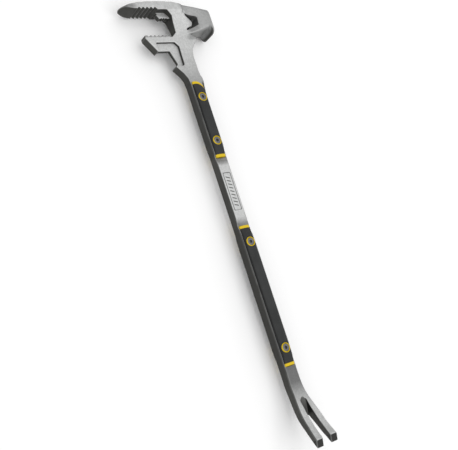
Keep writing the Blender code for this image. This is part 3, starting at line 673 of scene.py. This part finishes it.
class BAR_OT_forging(bpy.types.Operator):
    """Soften the forging's edges and press a plain ribbed border into its bare pad"""
    bl_idname = "entry_bar.forging"
    bl_label = "Forged Bar"

    def execute(self, context):
        settings = context.scene.bar_forging
        bar = merged_copy("forged_bar", "bar_forging")
        low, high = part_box("forged_bar")
        pad_half = abs(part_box("head_grip_front")[1].y - HANDLE_AXIS.y)
        for side in (1, -1):
            face = HANDLE_AXIS.z + side * pad_face_height(bar)
            sunk = 0 if side > 0 else -PRESS_HEIGHT
            base = face - side * settings.groove_depth + sunk
            border = rounded_frame("border", (PAD_MIDDLE, HANDLE_AXIS.y, base), BORDER_LENGTH,
                                   BORDER_WIDTH_SHARE * pad_half, BORDER_CORNER, BORDER_LINE,
                                   PRESS_HEIGHT)
            press(bar, border)
            for step in range(RIB_COUNT):
                x = PAD_MIDDLE + (step - RIB_COUNT // 2) * RIB_STEP
                rib = slanted_rib("rib", (x, HANDLE_AXIS.y, base + PRESS_HEIGHT / 2),
                                  RIB_LENGTH_SHARE * pad_half, RIB_WIDTH, PRESS_HEIGHT, RIB_SLANT)
                press(bar, rib)
        apply_modifier(bar, "REMESH", mode="VOXEL", voxel_size=settings.voxel, adaptivity=0)
        apply_modifier(bar, "SMOOTH", factor=0.5, iterations=settings.softening)
        count = sum(len(face.vertices) - 2 for face in bar.data.polygons)
        if count > settings.kept_faces:
            apply_modifier(bar, "DECIMATE", decimate_type="COLLAPSE",
                           ratio=settings.kept_faces / count)
        pick(bar)
        bpy.ops.object.shade_smooth()
        fit_inside(bar, low, high)
        look = blasted_steel(tuple(settings.steel), tuple(settings.sides))
        dress(bar, look, "forged_steel", "forged_bar")
        return {"FINISHED"}


def pad_face_height(bar):
    """Height of the bare pad's flat face above the handle's middle plane."""
    along, across = 60 * MM, 12 * MM
    near = [v.co.z for v in bar.data.vertices
            if abs(v.co.x - PAD_MIDDLE) < along and abs(v.co.y - HANDLE_AXIS.y) < across]
    return max(near) - HANDLE_AXIS.z


def fit_inside(item, low, high):
    """Keep every point of a piece within a box."""
    for point in item.data.vertices:
        for axis in range(3):
            point.co[axis] = min(max(point.co[axis], low[axis]), high[axis])


def soft_copy(node, name, edge, look, slot):
    """A copy of a node with small rounded edges."""
    piece = merged_copy(node, name)
    flatten_faces(piece, FLAT_DEGREES)
    apply_modifier(piece, "BEVEL", width=edge, segments=EDGE_SEGMENTS, limit_method="ANGLE",
                   angle_limit=math.radians(SHARP_DEGREES), harden_normals=False,
                   use_clamp_overlap=True)
    smooth_all(piece, SHARP_DEGREES)
    dress(piece, look, slot, node)


class BAR_OT_grips(bpy.types.Operator):
    """Build the four rubber grips"""
    bl_idname = "entry_bar.grips"
    bl_label = "Rubber Grips"

    def execute(self, context):
        settings = context.scene.bar_grips
        look = moulded_rubber(tuple(settings.rubber))
        for place in ("head_grip", "claw_grip"):
            for face in FACES:
                node = f"{place}_{face}"
                soft_copy(node, f"rubber_{node}", settings.grip_edge, look, "grip_rubber")
        return {"FINISHED"}


class BAR_OT_trim(bpy.types.Operator):
    """Build the yellow end bands and screw rings"""
    bl_idname = "entry_bar.trim"
    bl_label = "Bands and Rings"

    def execute(self, context):
        settings = context.scene.bar_grips
        look = yellow_trim(tuple(settings.yellow))
        for kind in ("band", "ring"):
            for number in NUMBERS:
                for face in FACES:
                    node = f"{kind}_{number}_{face}"
                    soft_copy(node, f"yellow_{node}", settings.trim_edge, look, "yellow_plastic")
        return {"FINISHED"}


class BAR_OT_screws(bpy.types.Operator):
    """Build the socket screws and their sleeve nuts"""
    bl_idname = "entry_bar.screws"
    bl_label = "Screws and Nuts"

    def execute(self, context):
        settings = context.scene.bar_grips
        look = plated_screw(tuple(settings.screw))
        for kind in ("screw", "sleeve_nut"):
            for number in NUMBERS:
                node = f"{kind}_{number}"
                soft_copy(node, f"plated_{node}", SCREW_EDGE, look, "screw_steel")
        return {"FINISHED"}


# ---------------------------------------------------------------- studio

# The camera's place, and the ways that its right and its back point.
CAMERA_PLACE = Vector((0.2198, -0.7000, 0.9929))
CAMERA_RIGHT = Vector((0.3062, 0.8033, 0.5108))
CAMERA_BACK = Vector((0.1696, -0.5740, 0.8011))
SENSOR_WIDTH = 36
NEAREST = 0.01
FLOOR_SIZE = 14
FLOOR_DROP = 0.4 * MM
SKY_STRENGTH = 0.86
LIGHT_PLACE = (0.1, 0.7, 2.9)
LIGHT_SIZE = (3.4, 2.8)
LIGHT_POWER = 26


def add_area(name, place, target, size, power):
    """A rectangular lamp that points at a target."""
    deselect_all()
    bpy.ops.object.light_add(type="AREA", location=place)
    lamp = bpy.context.object
    lamp.name = name
    lamp.data.shape = "RECTANGLE"
    lamp.data.size, lamp.data.size_y = size
    lamp.data.energy = power
    lamp.rotation_mode = "QUATERNION"
    lamp.rotation_quaternion = (Vector(target) - Vector(place)).to_track_quat("-Z", "Y")


class BAR_OT_studio(bpy.types.Operator):
    """Build the floor, the light and the camera"""
    bl_idname = "entry_bar.studio"
    bl_label = "Studio"

    def execute(self, context):
        settings = context.scene.bar_studio
        deselect_all()
        bpy.ops.mesh.primitive_plane_add(size=FLOOR_SIZE, location=(0, 0, -FLOOR_DROP))
        floor = context.object
        floor.name = "studio_floor"
        bpy.ops.object.transform_apply(location=True, rotation=False, scale=False)
        floor.data.materials.append(studio_floor(tuple(settings.floor)))

        world = bpy.data.worlds.new("studio_world")
        world.use_nodes = True
        back = world.node_tree.nodes["Background"]
        back.inputs["Color"].default_value = (1, 1, 1, 1)
        back.inputs["Strength"].default_value = SKY_STRENGTH
        context.scene.world = world

        add_area("key_light", LIGHT_PLACE, (0, 0, 0), LIGHT_SIZE, LIGHT_POWER)

        deselect_all()
        bpy.ops.object.camera_add(location=CAMERA_PLACE)
        camera = context.object
        camera.name = "studio_camera"
        camera.data.lens = settings.lens
        camera.data.sensor_width = SENSOR_WIDTH
        camera.data.clip_start = NEAREST
        back_axis = CAMERA_BACK.normalized()
        right = (CAMERA_RIGHT - back_axis * CAMERA_RIGHT.dot(back_axis)).normalized()
        up = back_axis.cross(right)
        turned = Matrix((right, up, back_axis)).transposed()
        camera.rotation_mode = "QUATERNION"
        camera.rotation_quaternion = turned.to_quaternion()
        context.scene.camera = camera
        context.scene.view_settings.view_transform = "Standard"
        return {"FINISHED"}


class BAR_PT_panel(bpy.types.Panel):
    """Lists the bar's building steps"""
    bl_idname = "BAR_PT_panel"
    bl_label = "Entry Bar"
    bl_space_type = "VIEW_3D"
    bl_region_type = "UI"
    bl_category = "Entry Bar"

    def draw(self, context):
        column = self.layout.column()
        for step in STEPS:
            column.operator(step.bl_idname)
        for group in (context.scene.bar_forging, context.scene.bar_grips, context.scene.bar_studio):
            for key in group.__annotations__:
                column.prop(group, key)


GROUPS = {
    "bar_forging": BarForgingSettings,
    "bar_grips": BarGripSettings,
    "bar_studio": BarStudioSettings,
}
STEPS = (BAR_OT_forging, BAR_OT_grips, BAR_OT_trim, BAR_OT_screws, BAR_OT_studio)


def register():
    for name, group in GROUPS.items():
        bpy.utils.register_class(group)
        setattr(bpy.types.Scene, name, bpy.props.PointerProperty(type=group))
    for step in (*STEPS, BAR_PT_panel):
        bpy.utils.register_class(step)


def unregister():
    for step in reversed((*STEPS, BAR_PT_panel)):
        bpy.utils.unregister_class(step)
    for name, group in GROUPS.items():
        delattr(bpy.types.Scene, name)
        bpy.utils.unregister_class(group)


def main():
    register()
    bpy.ops.entry_bar.forging()
    bpy.ops.entry_bar.grips()
    bpy.ops.entry_bar.trim()
    bpy.ops.entry_bar.screws()
    bpy.ops.entry_bar.studio()


if __name__ == "__main__":
    main()
